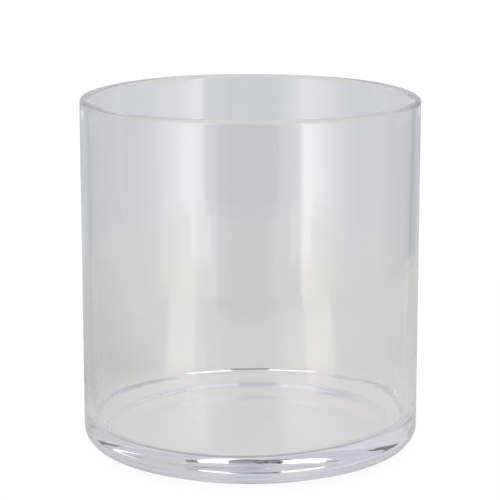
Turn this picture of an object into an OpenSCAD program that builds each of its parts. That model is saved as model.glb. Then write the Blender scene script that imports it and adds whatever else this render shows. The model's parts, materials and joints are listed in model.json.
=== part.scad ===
// Heavy-base glass cylinder vase for cut flowers.
// One mould-blown piece of clear glass: a thick flat base, a straight upright
// wall, a fire-polished rim, a rounded heel that slopes in under the base to a
// narrow flat standing ring, and a shallow dished underside inside that ring.
// Millimetres. Origin at the centre of the standing plane, +Z up.

/* [Body] */
// Outside diameter of the straight wall
body_d = 190; // [120:1:260]
// Overall height from the standing ring to the top of the rim
body_h = 200; // [100:1:400]
// Thickness of the blown wall
wall_t = 5; // [3:0.5:8]

/* [Base] */
// Thickness of the glass from the standing plane up to the inner floor
base_t = 17; // [8:1:30]
// Radius where the inner floor turns up into the wall
floor_fillet = 5; // [2:0.5:12]
// Radius of the outer heel where the wall turns under
heel_r = 10; // [6:0.5:14]
// Height of the heel arc's lowest point above the standing plane
heel_lift = 2.5; // [0.5:0.5:5]

/* [Underside] */
// Distance from the outer wall in to the edge of the flat standing ring
ring_inset = 15; // [14:0.5:25]
// Width of the flat standing ring
ring_w = 4; // [2:0.5:10]
// Rise of the dished underside at its centre
dish_rise = 1.8; // [0.8:0.1:3]

/* [Glass] */
// Tint of the clear glass
glass_tint = [0.84, 0.86, 0.9, 0.4];

/* [Hidden] */
fn_turn = 240;
fn_arc = 96;
fn_dish = 1440;
body_r = body_d / 2;
bore_r = body_r - wall_t;
lip_r = wall_t / 2;
lip_z = body_h - lip_r;
ring_r = body_r - ring_inset;
dish_edge_r = ring_r - ring_w;
dish_r = (dish_edge_r * dish_edge_r + dish_rise * dish_rise) / (2 * dish_rise);
// the slope under the heel: from the standing ring's edge, tangent to the heel arc
heel_x = body_r - heel_r;
heel_z = heel_r + heel_lift;
run_x = heel_x - ring_r;
reach = sqrt(run_x * run_x + heel_z * heel_z);
slope_len = sqrt(reach * reach - heel_r * heel_r);
slope_a = atan2(heel_z, run_x) - asin(heel_r / reach);
slope_x = ring_r + slope_len * cos(slope_a);
slope_z = slope_len * sin(slope_a);

// Outer shape as a half section: standing plane, slope, heel arc and upright wall.
module outer_section() {
  union() {
    polygon([
      [0, 0],
      [ring_r, 0],
      [slope_x, slope_z],
      [heel_x, heel_z],
      [body_r, heel_z],
      [body_r, lip_z],
      [0, lip_z]
    ]);
    translate([heel_x, heel_z]) circle(r = heel_r, $fn = fn_arc);
  }
}

// The hollow: straight bore, rounded into the flat inner floor.
module hollow_section() {
  union() {
    polygon([
      [-1, base_t],
      [bore_r - floor_fillet, base_t],
      [bore_r - floor_fillet, base_t + floor_fillet],
      [bore_r, base_t + floor_fillet],
      [bore_r, body_h + 5],
      [-1, body_h + 5]
    ]);
    translate([bore_r - floor_fillet, base_t + floor_fillet])
      circle(r = floor_fillet, $fn = fn_arc);
  }
}

// Shallow dish under the base, inside the standing ring.
module dish_section() {
  translate([0, dish_rise - dish_r]) circle(r = dish_r, $fn = fn_dish);
}

// Fire-polished rim: the cut edge of the wall, melted to a full round.
module rim_section() {
  translate([body_r - lip_r, lip_z]) circle(r = lip_r, $fn = fn_arc);
}

module vase_section() {
  union() {
    difference() {
      outer_section();
      hollow_section();
      dish_section();
    }
    rim_section();
  }
}

// The whole vase: the half section turned round the upright axis.
module glass_vase() {
  color(glass_tint)
    rotate_extrude($fn = fn_turn)
      vase_section();
}

glass_vase();
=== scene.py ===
"""Glass cylinder vase: the visual model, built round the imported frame.

One piece of mould-blown clear glass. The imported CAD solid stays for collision, and a fine
lathe mesh with the small unevenness of blown glass stands for it.
"""

import json
import math

import bpy
import numpy as np
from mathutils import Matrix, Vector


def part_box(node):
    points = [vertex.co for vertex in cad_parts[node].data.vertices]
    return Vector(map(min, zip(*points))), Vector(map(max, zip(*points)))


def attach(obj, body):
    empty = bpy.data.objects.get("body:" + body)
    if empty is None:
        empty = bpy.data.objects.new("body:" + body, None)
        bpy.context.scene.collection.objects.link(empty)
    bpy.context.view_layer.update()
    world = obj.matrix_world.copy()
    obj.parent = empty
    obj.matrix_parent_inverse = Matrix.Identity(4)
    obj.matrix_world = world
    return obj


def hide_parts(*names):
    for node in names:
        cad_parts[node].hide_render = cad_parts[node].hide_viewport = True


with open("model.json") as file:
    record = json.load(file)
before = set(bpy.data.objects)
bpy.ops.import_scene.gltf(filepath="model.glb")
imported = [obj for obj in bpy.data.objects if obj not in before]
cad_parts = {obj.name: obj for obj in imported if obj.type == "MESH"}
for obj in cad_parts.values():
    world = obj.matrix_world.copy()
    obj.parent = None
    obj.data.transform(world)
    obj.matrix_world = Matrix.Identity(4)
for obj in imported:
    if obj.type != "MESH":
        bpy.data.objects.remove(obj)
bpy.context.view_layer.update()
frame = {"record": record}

# ------------------------------------------------------------------ sizes, from the frame
lo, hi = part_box("glass_vase")
H = hi[2] - lo[2]
R = (hi[0] - lo[0]) / 2
Z0 = lo[2]
mounts = {m["name"]: m for m in frame["record"]["mounts"]}
R_IN = mounts["mouth"]["dims"]["r_mm"] / 1000
WALL = R - R_IN
LIP = WALL / 2
MM = 0.001

BASE_T = 17 * MM
FILLET = 5 * MM
HEEL_R = 10 * MM
HEEL_Z = 12.5 * MM
RING_R = R - 15 * MM
RING_W = 4 * MM
DISH = 1.8 * MM
TAPER = 0.0060  # the blown wall thickens a little towards the base

SEG = 320


def rng(seed):
    return np.random.RandomState(seed)


# ------------------------------------------------------------------ unevenness of blown glass
def waves(seed, n, m_lo, m_hi, w_lo, w_hi):
    """A smooth random field over the turned surface: angle in radians, run in metres."""
    r = rng(seed)
    m = r.randint(m_lo, m_hi + 1, n)
    w = r.uniform(w_lo, w_hi, n) * r.choice([-1, 1], n)
    p = r.uniform(0, 2 * math.pi, n)
    a = r.uniform(0.5, 1.0, n)
    a /= np.sqrt((a * a).sum() / 2)

    def f(ang, s):
        out = 0.0
        for k in range(n):
            out = out + a[k] * np.cos(m[k] * ang + w[k] * s + p[k])
        return out

    return f


broad_in = waves(11, 9, 1, 5, 8, 45)
broad_out = waves(12, 8, 1, 4, 6, 35)
draw_in = waves(13, 10, 5, 16, 4, 30)
chill = waves(14, 16, 8, 34, 500, 1300)
ripple = waves(18, 18, 10, 44, 1300, 2300)
mould = waves(19, 8, 3, 9, 1000, 1350)
floor_a = waves(15, 8, 0, 5, 30, 110)
floor_b = waves(16, 12, 4, 22, 120, 420)
rim_w = waves(17, 6, 1, 5, 0, 0.001)


def smooth(a, b, x):
    t = np.clip((x - a) / (b - a), 0, 1)
    return t * t * (3 - 2 * t)


# ------------------------------------------------------------------ profile, from the axis under
# the base, out over the heel, up the wall, over the rim, down the bore and in to the floor's centre
def arc(cx, cz, r, a0, a1, n):
    t = np.linspace(a0, a1, n + 1)
    return [(cx + r * math.cos(x), cz + r * math.sin(x)) for x in t]


def line(p, q, n):
    return [(p[0] + (q[0] - p[0]) * k / n, p[1] + (q[1] - p[1]) * k / n) for k in range(n + 1)]


dish_edge = RING_R - RING_W
dish_R = (dish_edge**2 + DISH**2) / (2 * DISH)
hx = R - HEEL_R
run = hx - RING_R
reach = math.hypot(run, HEEL_Z)
slope = math.sqrt(reach**2 - HEEL_R**2)
slope_a = math.atan2(HEEL_Z, run) - math.asin(HEEL_R / reach)
tan_pt = (RING_R + slope * math.cos(slope_a), slope * math.sin(slope_a))
heel_a0 = math.atan2(tan_pt[1] - HEEL_Z, tan_pt[0] - hx)

profile = []
part = []  # which surface each ring belongs to


def add(points, name):
    for p in points:
        if profile and math.hypot(p[0] - profile[-1][0], p[1] - profile[-1][1]) < 1e-7:
            continue
        profile.append(p)
        part.append(name)


radii = [0.0, 1.2, 2.6, 4.5, 7, 10, 13, 16, 19, 22, 25, 28, 31, 34, 37, 40, 43, 46, 49, 52, 55, 58, 61, 64, 67, 69.5, 71.5, 73.2, 74.5, 75.4]
add([(r * MM, DISH - dish_R + math.sqrt(dish_R**2 - (r * MM) ** 2)) for r in radii], "dish")
add(line((dish_edge, 0), (RING_R, 0), 5), "ring")
add(line((RING_R, 0), tan_pt, 10), "slope")
add(arc(hx, HEEL_Z, HEEL_R, heel_a0, 0.0, 26), "heel")
rows = list(np.arange(0.0, 50.0, 0.85)) + list(np.linspace(50.0, 180.0, 28))
add([(R, HEEL_Z + (H - LIP - HEEL_Z) * t / 180.0) for t in rows], "outer")
add(arc(R - LIP, H - LIP, LIP, 0, math.pi, 20), "lip")
add([(R_IN, BASE_T + FILLET + (H - LIP - BASE_T - FILLET) * t / 180.0) for t in rows[::-1]], "inner")
add([(R_IN - FILLET + FILLET * math.cos(t), BASE_T + FILLET + FILLET * math.sin(t)) for t in np.linspace(0, -math.pi / 2, 25)], "fillet")
floor_r = list(np.arange(R_IN - FILLET, 12 * MM, -2.2 * MM))[1:] + [10 * MM, 7 * MM, 4.5 * MM, 2.6 * MM, 1.2 * MM, 0.0]
add([(r, BASE_T) for r in floor_r], "floor")

P = np.array(profile)
n_rings = len(P)
run_len = np.concatenate([[0], np.cumsum(np.hypot(*np.diff(P, axis=0).T))])
tang = np.gradient(P, axis=0)
tang /= np.linalg.norm(tang, axis=1)[:, None] + 1e-12
normal = np.stack([tang[:, 1], -tang[:, 0]], axis=1)  # points out of the glass


def floor_rise(ang, r):
    """The poured floor isn't quite level: it lies higher on one side."""
    q = r / (R_IN - FILLET)
    return MM * (1.8 * q * np.cos(ang) + 1.0 * q * q * (1 + np.cos(2 * ang)))


def offsets(i, ang):
    """How far the surface stands off the turned shape along its normal, in metres."""
    r, z = P[i]
    name = part[i]
    s = run_len[i]
    o = np.zeros_like(ang)
    # mould chill: fine ripples low on the wall, mostly on two sides
    low = float(1 - smooth(0.045, 0.080, z)) * float(smooth(0.012, 0.026, z))
    low = low * (0.02 + 0.98 * np.cos(ang + 0.1) ** 12 * np.where(np.cos(ang) > 0, 1.0, 0.7))
    if name in ("outer", "heel"):
        k = float(smooth(0.0, 0.02, z))
        o += 0.03 * MM * broad_out(ang, z) * k
        o += (0.010 * chill(ang, z) + 0.004 * ripple(ang, z) + 0.05 * mould(ang, z)) * MM * low
    if name in ("inner", "fillet"):
        o += TAPER * (H - 0.02 - max(z, BASE_T + FILLET)) * (1.0 if name == "inner" else max(0.0, -normal[i][0]))
        o += 0.04 * MM * broad_in(ang, z)
        o += 0.004 * MM * draw_in(ang, z)
        o += (0.014 * chill(ang + 0.3, z) + 0.004 * ripple(ang + 0.7, z) + 0.03 * mould(ang + 0.9, z)) * MM * low
    if name in ("fillet", "floor"):
        k = float(smooth(0.0, 0.03, r))
        o += 0.008 * MM * floor_a(ang, r) * k
        o += 0.001 * MM * floor_b(ang, r) * k
    if name in ("dish", "slope"):
        k = float(smooth(0.0, 0.03, r)) * (float(1 - smooth(0.068, dish_edge, r)) if name == "dish" else float(smooth(RING_R, RING_R + 0.004, r)))
        o += 0.006 * MM * floor_a(ang + 1.0, r) * k
        o += 0.001 * MM * floor_b(ang + 2.0, r) * k
    return o


def rim_lift(ang, z):
    """The fire-polished rim wavers a little in height."""
    return 0.18 * MM * rim_w(ang, 0.0) * float(smooth(H - 0.03, H, z)) * 0.6


rings = []
verts = []
seg_of = []
for i, (r, z) in enumerate(profile):
    if r < 1e-6:
        n = 1
    elif r < 1.5 * MM:
        n = SEG // 32
    elif r < 3 * MM:
        n = SEG // 16
    elif r < 5 * MM:
        n = SEG // 8
    elif r < 12 * MM:
        n = SEG // 4
    elif r < 30 * MM:
        n = SEG // 2
    else:
        n = SEG
    ang = np.arange(n) * (2 * math.pi / n)
    o = offsets(i, ang) if n > 1 else np.zeros(1)
    nr, nz = normal[i]
    rr = r + nr * o if n > 1 else np.zeros(1)
    zz = z + nz * o + rim_lift(ang, z)
    if part[i] in ("inner", "fillet", "floor"):
        zz = zz + floor_rise(ang, min(r, R_IN - FILLET)) * float(1 - smooth(BASE_T + FILLET, BASE_T + FILLET + 0.045, z))
    if part[i] in ("ring",):
        zz = np.zeros(n)
    start = len(verts)
    for k in range(n):
        verts.append((rr[k] * math.cos(ang[k]), rr[k] * math.sin(ang[k]), Z0 + zz[k]))
    rings.append((start, n))

faces = []
for (a, na), (b, nb) in zip(rings, rings[1:]):
    if na == nb:
        for k in range(na):
            k2 = (k + 1) % na
            faces.append((a + k, a + k2, b + k2, b + k))
    elif na == 1:
        for k in range(nb):
            faces.append((a, b + (k + 1) % nb, b + k))
    elif nb == 1:
        for k in range(na):
            faces.append((a + k, a + (k + 1) % na, b))
    elif nb == 2 * na:
        for k in range(na):
            k2 = (k + 1) % na
            b0, b1, b2 = b + 2 * k, b + 2 * k + 1, b + (2 * k + 2) % nb
            faces += [(a + k, b1, b0), (a + k, a + k2, b1), (a + k2, b2, b1)]
    elif na == 2 * nb:
        for k in range(nb):
            k2 = (k + 1) % nb
            a0, a1, a2 = a + 2 * k, a + 2 * k + 1, a + (2 * k + 2) % na
            faces += [(a0, a1, b + k), (a1, b + k2, b + k), (a1, a2, b + k2)]
    else:
        raise ValueError((na, nb))

mesh = bpy.data.meshes.new("vase_glass")
mesh.from_pydata(verts, [], faces)
mesh.update()
mesh.polygons.foreach_set("use_smooth", [True] * len(mesh.polygons))
vase = bpy.data.objects.new("vase_glass", mesh)
bpy.context.scene.collection.objects.link(vase)
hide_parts("glass_vase")
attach(vase, "root")


# ------------------------------------------------------------------ material
class Nodes:
    def __init__(self, tree):
        self.t = tree
        tree.nodes.clear()

    def new(self, kind, **props):
        n = self.t.nodes.new(kind)
        for k, v in props.items():
            setattr(n, k, v)
        return n

    def link(self, a, b):
        self.t.links.new(a, b)

    def math(self, op, a, b=None, c=None, clamp=False):
        n = self.new("ShaderNodeMath", operation=op, use_clamp=clamp)
        for i, v in enumerate((a, b, c)):
            if v is None:
                continue
            if isinstance(v, (int, float)):
                n.inputs[i].default_value = v
            else:
                self.link(v, n.inputs[i])
        return n.outputs[0]

    def mix_rgb(self, fac, a, b):
        n = self.new("ShaderNodeMix", data_type="RGBA")
        for sock, v in ((n.inputs[0], fac), (n.inputs[6], a), (n.inputs[7], b)):
            if isinstance(v, (int, float)):
                sock.default_value = v
            elif isinstance(v, tuple):
                sock.default_value = v if len(v) == 4 else (*v, 1)
            else:
                self.link(v, sock)
        return n.outputs[2]

    def ramp(self, fac, stops, interp="LINEAR"):
        n = self.new("ShaderNodeValToRGB")
        cr = n.color_ramp
        cr.interpolation = interp
        while len(cr.elements) > 1:
            cr.elements.remove(cr.elements[-1])
        cr.elements[0].position = stops[0][0]
        cr.elements[0].color = col(stops[0][1])
        for p, c in stops[1:]:
            e = cr.elements.new(p)
            e.color = col(c)
        self.link(fac, n.inputs[0])
        return n.outputs[0]


    def window(self, v, a, b, soft):
        """1 between a and b, falling to 0 over soft outside them."""
        out = None
        for lo_, hi_ in ((a - soft, a), (b + soft, b)):
            n = self.new("ShaderNodeMapRange", interpolation_type="SMOOTHSTEP")
            self.link(v, n.inputs[0])
            n.inputs[1].default_value = min(lo_, hi_)
            n.inputs[2].default_value = max(lo_, hi_)
            n.inputs[3].default_value = 0.0 if lo_ < hi_ else 1.0
            n.inputs[4].default_value = 1.0 if lo_ < hi_ else 0.0
            out = n.outputs[0] if out is None else self.math("MULTIPLY", out, n.outputs[0])
        return out

    def pools(self, base, az, other, items):
        """Soft-edged pools of light or shade, each a window in bearing and in a second measure."""
        for a0, a1, soft_a, b0, b1, soft_b, c in items:
            m = self.math("MULTIPLY", self.window(az, a0, a1, soft_a), self.window(other, b0, b1, soft_b))
            base = self.mix_rgb(m, base, c)
        return base


def bearing(N, x, y):
    """Degrees from the front, left negative."""
    return N.math("MULTIPLY", N.math("ARCTAN2", x, N.math("MULTIPLY", y, -1.0)), 180 / math.pi)


def both(items):
    """Each pool and its mirror image on the other side."""
    return [p for q in items for p in (q, (-q[1], -q[0], *q[2:]))]


def col(c):
    if isinstance(c, (int, float)):
        return (c, c, c, 1)
    return (*c, 1) if len(c) == 3 else c


def glass_material():
    mat = bpy.data.materials.new("clear_blown_glass")
    mat.use_nodes = True
    N = Nodes(mat.node_tree)
    out = N.new("ShaderNodeOutputMaterial")
    bsdf = N.new("ShaderNodeBsdfPrincipled")
    N.link(bsdf.outputs[0], out.inputs["Surface"])
    bsdf.inputs["IOR"].default_value = 1.5
    bsdf.inputs["Transmission Weight"].default_value = 1.0
    bsdf.inputs["Metallic"].default_value = 0.0

    geo = N.new("ShaderNodeTexCoord").outputs["Object"]
    sep = N.new("ShaderNodeSeparateXYZ")
    N.link(geo, sep.inputs[0])
    x, y, z = sep.outputs
    rad = N.math("SQRT", N.math("ADD", N.math("MULTIPLY", x, x), N.math("MULTIPLY", y, y)))

    # faint streaks of tint drawn up the wall as the gather was blown
    streak_map = N.new("ShaderNodeMapping")
    streak_map.inputs["Scale"].default_value = (26, 26, 3.5)
    N.link(geo, streak_map.inputs[0])
    streak = N.new("ShaderNodeTexNoise")
    streak.inputs["Scale"].default_value = 1.0
    streak.inputs["Detail"].default_value = 3.0
    N.link(streak_map.outputs[0], streak.inputs["Vector"])
    tint = N.ramp(streak.outputs[0], [(0.3, (0.985, 0.986, 0.994)), (0.7, (1.0, 1.0, 1.0))])
    N.link(tint, bsdf.inputs["Base Color"])

    # polished all over; the standing ring is scuffed from being set down
    on_ring = N.math("MULTIPLY", N.math("LESS_THAN", z, 0.00012), N.math("MULTIPLY", N.math("GREATER_THAN", rad, dish_edge - 0.0004), N.math("LESS_THAN", rad, RING_R + 0.0004)))
    scuff = N.new("ShaderNodeTexNoise")
    scuff.inputs["Scale"].default_value = 900.0
    scuff.inputs["Detail"].default_value = 4.0
    N.link(geo, scuff.inputs["Vector"])
    scuffs = N.ramp(scuff.outputs[0], [(0.40, 0.04), (0.62, 0.30)])
    film = N.new("ShaderNodeTexNoise")
    film.inputs["Scale"].default_value = 22.0
    film.inputs["Detail"].default_value = 5.0
    N.link(geo, film.inputs["Vector"])
    films = N.ramp(film.outputs[0], [(0.35, 0.0), (0.75, 0.018)])
    rough = N.mix_rgb(on_ring, films, scuffs)
    N.link(rough, bsdf.inputs["Roughness"])

    # fine skin of the mould and the draw, far below what the eye reads as a dent
    skin_map = N.new("ShaderNodeMapping")
    skin_map.inputs["Scale"].default_value = (1.0, 1.0, 0.35)
    N.link(geo, skin_map.inputs[0])
    skin = N.new("ShaderNodeTexNoise")
    skin.inputs["Scale"].default_value = 70.0
    skin.inputs["Detail"].default_value = 3.0
    N.link(skin_map.outputs[0], skin.inputs["Vector"])
    bump = N.new("ShaderNodeBump")
    bump.inputs["Strength"].default_value = 0.25
    bump.inputs["Distance"].default_value = 0.00006
    N.link(skin.outputs[0], bump.inputs["Height"])
    N.link(bump.outputs[0], bsdf.inputs["Normal"])

    vol = N.new("ShaderNodeVolumeAbsorption")
    vol.inputs["Color"].default_value = (0.80, 0.80, 0.84, 1)
    vol.inputs["Density"].default_value = 1.3
    N.link(vol.outputs[0], out.inputs["Volume"])
    return mat


mesh.materials.append(glass_material())

# ------------------------------------------------------------------ stage: a round pale table
TABLE_R = 0.470
TABLE_P = 3.0


def table():
    n = 256
    rr = [0.0, 0.05, 0.1, 0.15, 0.2, 0.3, 0.4, TABLE_R]
    vs = [(0, 0, 0)]
    for r in rr[1:]:
        for k in range(n):
            c, s = math.cos(2 * math.pi * k / n), math.sin(2 * math.pi * k / n)
            q = r / (abs(c) ** TABLE_P + abs(s) ** TABLE_P) ** (1 / TABLE_P)
            vs.append((q * c, q * s, 0))
    fs = [(0, 1 + k, 1 + (k + 1) % n) for k in range(n)]
    for j in range(len(rr) - 2):
        a, b = 1 + j * n, 1 + (j + 1) * n
        fs += [(a + k, b + k, b + (k + 1) % n, a + (k + 1) % n) for k in range(n)]
    me = bpy.data.meshes.new("table")
    me.from_pydata(vs, [], fs)
    ob = bpy.data.objects.new("table", me)
    ob.location = (0, 0, Z0 - 0.00025)
    bpy.context.scene.collection.objects.link(ob)
    mat = bpy.data.materials.new("pale_table")
    mat.use_nodes = True
    N = Nodes(mat.node_tree)
    out = N.new("ShaderNodeOutputMaterial")
    lp = N.new("ShaderNodeLightPath")
    sep = N.new("ShaderNodeSeparateXYZ")
    N.link(N.new("ShaderNodeTexCoord").outputs["Object"], sep.inputs[0])
    x, y, _ = sep.outputs
    az = bearing(N, x, y)
    rad = N.math("MULTIPLY", N.math("SQRT", N.math("ADD", N.math("MULTIPLY", x, x), N.math("MULTIPLY", y, y))), 1000.0)
    # in reflections the table carries painted light, the glow of the two panels, with painted shade between and beside
    # them; through the glass it is plainer, with painted shade on its two back sides
    painted_panel_glow = [
        (-180, 0.655), (-162, 0.655), (-150, 0.56), (-110, 0.50), (-85, 0.50), (-60, 0.62), (-45, 0.74), (-36, 0.92), (-22, 0.96), (-13, 0.62),
        (-7, 0.50), (7, 0.50), (13, 0.60), (20, 0.92), (32, 0.98), (42, 0.86), (55, 0.76), (80, 0.72), (110, 0.64), (142, 0.59), (160, 0.652), (180, 0.652),
    ]
    calm_with_painted_shade = [(-180, 0.655), (-162, 0.655), (-150, 0.56), (-122, 0.53), (-108, 0.62), (-92, 0.652), (92, 0.652), (110, 0.64), (142, 0.59), (160, 0.652), (180, 0.652)]
    near = (0.660, 0.652, 0.637)

    def ground(levels, extra):
        # far out the table takes the given levels by bearing: painted light and shade
        far = N.ramp(N.math("ADD", N.math("DIVIDE", az, 360.0), 0.5), [(0.5 + a / 360, (v * 1.006, v, v * 0.990)) for a, v in levels])
        g = N.mix_rgb(N.window(rad, 190, 1000, 60), near, far)
        g = N.pools(g, az, rad, extra)
        # painted light: under the vase the table is lighter
        g = N.mix_rgb(N.window(rad, -10, 98, 4), g, (0.706, 0.688, 0.664))
        # painted shade: thin dark arcs just outside the heel on the two back sides
        return N.pools(g, az, rad, [
            (120, 146, 8, 98, 102, 2, (0.48, 0.48, 0.485)),
            (-150, -112, 8, 98, 102, 2, (0.48, 0.48, 0.485)),
        ])

    # painted caustic light gathered by the glass just outside the heel, a bright arc on either side at the back, with
    # a painted dark line of shade behind the middle: it shows only through two walls or more, and in reflections
    painted_caustic_and_shade = both([
        (160, 172.6, 3, 107, 110, 2, (1.30, 1.28, 1.25)),
        (174.2, 181, 0.8, 112, 116, 3, (0.24, 0.23, 0.23)),
    ])
    plain = ground(calm_with_painted_shade, [])
    through = N.mix_rgb(N.math("GREATER_THAN", lp.outputs["Transmission Depth"], 2.5), plain, N.pools(plain, az, rad, painted_caustic_and_shade))
    # painted light: far out on the front left and front right the table carries bright pools of the panels' light,
    # seen in reflections
    thick = N.pools(ground(painted_panel_glow, [
        (-50, -35, 3, 340, 1000, 90, (1.9, 1.87, 1.82)),
        (34, 50, 2, 340, 1000, 80, (1.9, 1.87, 1.82)),
    ]), az, rad, painted_caustic_and_shade)
    # what only the base turns to the front: the table behind, painted with the light of two strip lights and a
    # painted, speckled shade in the gap between them. The painted strips fan out from a line 160 mm behind the vase's
    # middle, where the vase gathers their light.
    fan = bearing(N, x, N.math("MULTIPLY_ADD", y, -1.0, 0.160))
    # painted shade behind the vase: a dark line behind the middle, and darker, cooler bands further back
    low = N.pools(thick, az, rad, both([
        (174.2, 181, 0.8, 112, 122, 2, (0.16, 0.15, 0.15)),
        (170, 181, 3, 126, 160, 4, (0.60, 0.59, 0.67)),
        (160, 181, 5, 176, 260, 10, (0.60, 0.595, 0.66)),
    ]))
    # painted shade: dark specks for the gap between the painted strips
    speck = N.new("ShaderNodeTexNoise")
    speck.inputs["Scale"].default_value = 260.0
    speck.inputs["Detail"].default_value = 3.0
    N.link(N.new("ShaderNodeTexCoord").outputs["Object"], speck.inputs["Vector"])
    shade = N.ramp(speck.outputs[0], [(0.40, (0.06, 0.06, 0.07)), (0.62, (0.40, 0.40, 0.46))])
    # painted shade under the front of the heel
    low = N.pools(low, az, rad, [(-70, 70, 10, 80, 99, 2, (0.42, 0.42, 0.48))])
    deep = N.mix_rgb(N.math("MULTIPLY", N.window(fan, -4.6, 4.9, 0.5), N.window(rad, 163, 1000, 3)), low, shade)
    # painted light: the two strip lights on the table behind, fanning out, and a short strip closer in on one side
    deep = N.pools(deep, fan, rad, [
        (5.3, 11.0, 0.5, 163, 1000, 3, (1.75, 1.73, 1.76)),
        (-17.0, -5.0, 0.5, 163, 1000, 3, (1.75, 1.73, 1.76)),
    ])
    deep = N.pools(deep, az, rad, [(168.5, 175.0, 0.5, 146, 166, 3, (1.75, 1.73, 1.76))])
    # reflected rays and rays through the glass see the table as a glow of these colours, painted light and shade
    # rather than lamp light
    c = N.mix_rgb(N.math("GREATER_THAN", lp.outputs["Glossy Depth"], 0.5), through, low)
    c = N.mix_rgb(N.math("GREATER_THAN", lp.outputs["Glossy Depth"], 1.5), c, deep)
    em = N.new("ShaderNodeEmission")
    N.link(c, em.inputs[0])
    # seen directly: a white table with only a faint contact shadow
    dif = N.new("ShaderNodeBsdfDiffuse")
    dif.inputs[0].default_value = (0.82, 0.82, 0.82, 1)
    white = N.new("ShaderNodeEmission")
    white.inputs[0].default_value = (1.0, 1.0, 1.0, 1)
    direct = N.new("ShaderNodeMixShader")
    direct.inputs[0].default_value = 0.08
    N.link(white.outputs[0], direct.inputs[1])
    N.link(dif.outputs[0], direct.inputs[2])
    mix = N.new("ShaderNodeMixShader")
    N.link(lp.outputs["Is Camera Ray"], mix.inputs[0])
    N.link(em.outputs[0], mix.inputs[1])
    N.link(direct.outputs[0], mix.inputs[2])
    N.link(mix.outputs[0], out.inputs["Surface"])
    mat.cycles.emission_sampling = "NONE"
    me.materials.append(mat)
    return ob


table()


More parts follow.
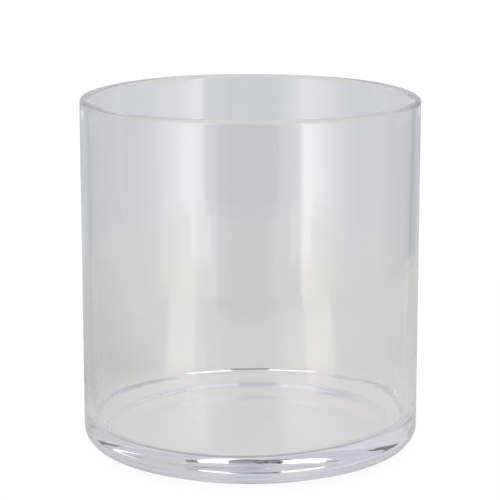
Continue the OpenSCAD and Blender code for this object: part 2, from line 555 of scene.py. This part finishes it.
# ------------------------------------------------------------------ studio: pale backdrop, two soft
# panels in front to the left and the right, a darker gap between them
def studio():
    world = bpy.data.worlds.new("studio")
    bpy.context.scene.world = world
    world.use_nodes = True
    N = Nodes(world.node_tree)
    out = N.new("ShaderNodeOutputWorld")
    bg = N.new("ShaderNodeBackground")
    N.link(bg.outputs[0], out.inputs[0])
    lp = N.new("ShaderNodeLightPath")
    d = N.new("ShaderNodeTexCoord").outputs["Generated"]
    sep = N.new("ShaderNodeSeparateXYZ")
    N.link(d, sep.inputs[0])
    x, y, z = sep.outputs
    # bearing from the front, left negative, as 0..1 for -180..180 degrees
    az = bearing(N, x, y)
    el = N.math("MULTIPLY", N.math("ARCSINE", z), 180 / math.pi)
    u = N.math("ADD", N.math("DIVIDE", az, 360.0), 0.5)

    def p(deg):
        return 0.5 + deg / 360

    S = 3.0
    warm = (1.0, 0.975, 0.925)
    cool = (0.975, 0.99, 1.04)

    def e(v, t):
        return tuple(min(1.0, v * c / S) for c in t)

    stops = [
        (-180, e(0.67, cool)), (-165, e(0.65, cool)), (-150, e(0.56, cool)), (-136, e(0.49, cool)), (-122, e(0.47, cool)), (-105, e(0.46, cool)), (-86, e(0.38, cool)), (-74, e(0.60, cool)),
        (-67, e(0.75, warm)), (-61, e(1.2, warm)), (-50, e(1.87, warm)), (-45, e(2.07, warm)),
        (-39, e(1.95, warm)), (-34, e(1.25, warm)), (-28, e(1.0, cool)), (-22, e(0.8, cool)), (-21, e(0.10, cool)),
        (14, e(0.10, cool)), (16, e(0.3, cool)), (26, e(0.4, cool)), (34.5, e(0.44, cool)), (35.3, e(2.45, warm)),
        (42, e(2.25, warm)), (49, e(1.9, warm)), (58, e(1.2, warm)), (70, e(0.94, cool)),
        (80, e(0.73, cool)), (112, e(0.51, cool)), (135, e(0.45, cool)), (150, e(0.50, cool)), (162, e(0.60, cool)), (180, e(0.67, cool)),
    ]
    around = N.ramp(u, [(p(a), c) for a, c in stops])
    scale = N.new("ShaderNodeVectorMath", operation="SCALE")
    N.link(around, scale.inputs[0])
    scale.inputs["Scale"].default_value = S
    # ceiling, and a paler wall higher up
    lav = (0.635, 0.63, 0.695)
    tall = N.mix_rgb(N.window(el, 24, 100, 8), scale.outputs[0], lav)
    up = N.math("MULTIPLY", N.math("SUBTRACT", z, 0.72), 6.0, clamp=True)
    lit = N.mix_rgb(up, tall, (0.60, 0.60, 0.66))
    lit = N.pools(lit, az, el, [
        (120, 160, 5, 9, 26, 3, (0.60, 0.595, 0.64)),
        (-163, -120, 5, 9, 26, 3, (0.70, 0.685, 0.765)),
    ])
    # light that the thick base has turned twice: two strip lights running front to back overhead
    # and down behind the vase, with a shaded gap between them
    over = N.pools(lit, x, el, [
        (-0.36, -0.13, 0.02, 58, 100, 4, (0.80, 0.79, 0.83)),
        (0.12, 0.32, 0.02, 58, 100, 4, (0.80, 0.79, 0.83)),
        (-0.11, 0.10, 0.02, 66, 100, 4, (0.54, 0.54, 0.61)),
    ])
    grain = N.new("ShaderNodeTexNoise")
    grain.inputs["Scale"].default_value = 1.0
    grain.inputs["Detail"].default_value = 2.0
    place = N.new("ShaderNodeCombineXYZ")
    N.link(N.math("MULTIPLY", az, 1.1), place.inputs[0])
    N.link(N.math("MULTIPLY", el, 0.35), place.inputs[1])
    N.link(place.outputs[0], grain.inputs["Vector"])
    broken = N.ramp(grain.outputs[0], [(0.42, (0.03, 0.03, 0.04)), (0.62, (0.45, 0.45, 0.52))])
    over = N.pools(over, az, el, [
        (166.3, 168.6, 0.4, 1, 14, 2, (0.20, 0.21, 0.22)),
        (-164.4, -161.5, 0.5, 3, 13, 2, (0.42, 0.40, 0.46)),
        (169.0, 174.8, 0.4, -9, 15, 1.5, (1.9, 1.88, 1.9)),
        (-174.1, -165.3, 0.4, -9, 15, 1.5, (1.9, 1.88, 1.9)),
        (175.2, 181, 0.4, -9, 15, 1.5, (0.34, 0.34, 0.40)),
    ])
    over = N.mix_rgb(N.math("MULTIPLY", N.window(az, -181, -174.5, 0.4), N.window(el, -9, 15, 1.5)), over, broken)
    lit = N.mix_rgb(N.math("GREATER_THAN", lp.outputs["Glossy Depth"], 1.5), lit, over)
    # the backdrop is neutral at the table's edge and cooler higher up
    rise = N.ramp(N.math("MULTIPLY_ADD", el, 1 / 24, 0.5), [
        (0.0, (0.664, 0.655, 0.662)), (0.03, (0.657, 0.653, 0.680)), (0.09, (0.652, 0.652, 0.690)), (0.17, (0.652, 0.653, 0.706)), (1.0, (0.652, 0.655, 0.706)),
    ])
    is_refl = N.math("GREATER_THAN", lp.outputs["Glossy Depth"], 0.5)
    seen = N.mix_rgb(is_refl, rise, lit)
    direct = N.mix_rgb(lp.outputs["Is Camera Ray"], seen, (1.06, 1.06, 1.06))
    is_dif = N.math("GREATER_THAN", lp.outputs["Diffuse Depth"], 0.5)
    final = N.mix_rgb(is_dif, direct, (1.75, 1.75, 1.75))
    N.link(final, bg.inputs[0])
    world.cycles.sampling_method = "NONE"


studio()

# ------------------------------------------------------------------ camera
cam_data = bpy.data.cameras.new("camera")
cam = bpy.data.objects.new("camera", cam_data)
bpy.context.scene.collection.objects.link(cam)
cam_data.sensor_width = 36
cam_data.lens = 2124.28 * 36 / 500
cam_data.shift_x = -0.00055
cam_data.clip_start = 0.05
cam_data.clip_end = 50
cam.location = (0.0, -1.17431, 0.36506)
cam.rotation_euler = (math.radians(90 - 12.159), 0, 0)
bpy.context.scene.camera = cam

sc = bpy.context.scene
sc.view_settings.view_transform = "Standard"
sc.view_settings.look = "None"
sc.cycles.max_bounces = 256
sc.cycles.transmission_bounces = 256
sc.cycles.glossy_bounces = 256
sc.cycles.diffuse_bounces = 3
sc.cycles.volume_bounces = 0
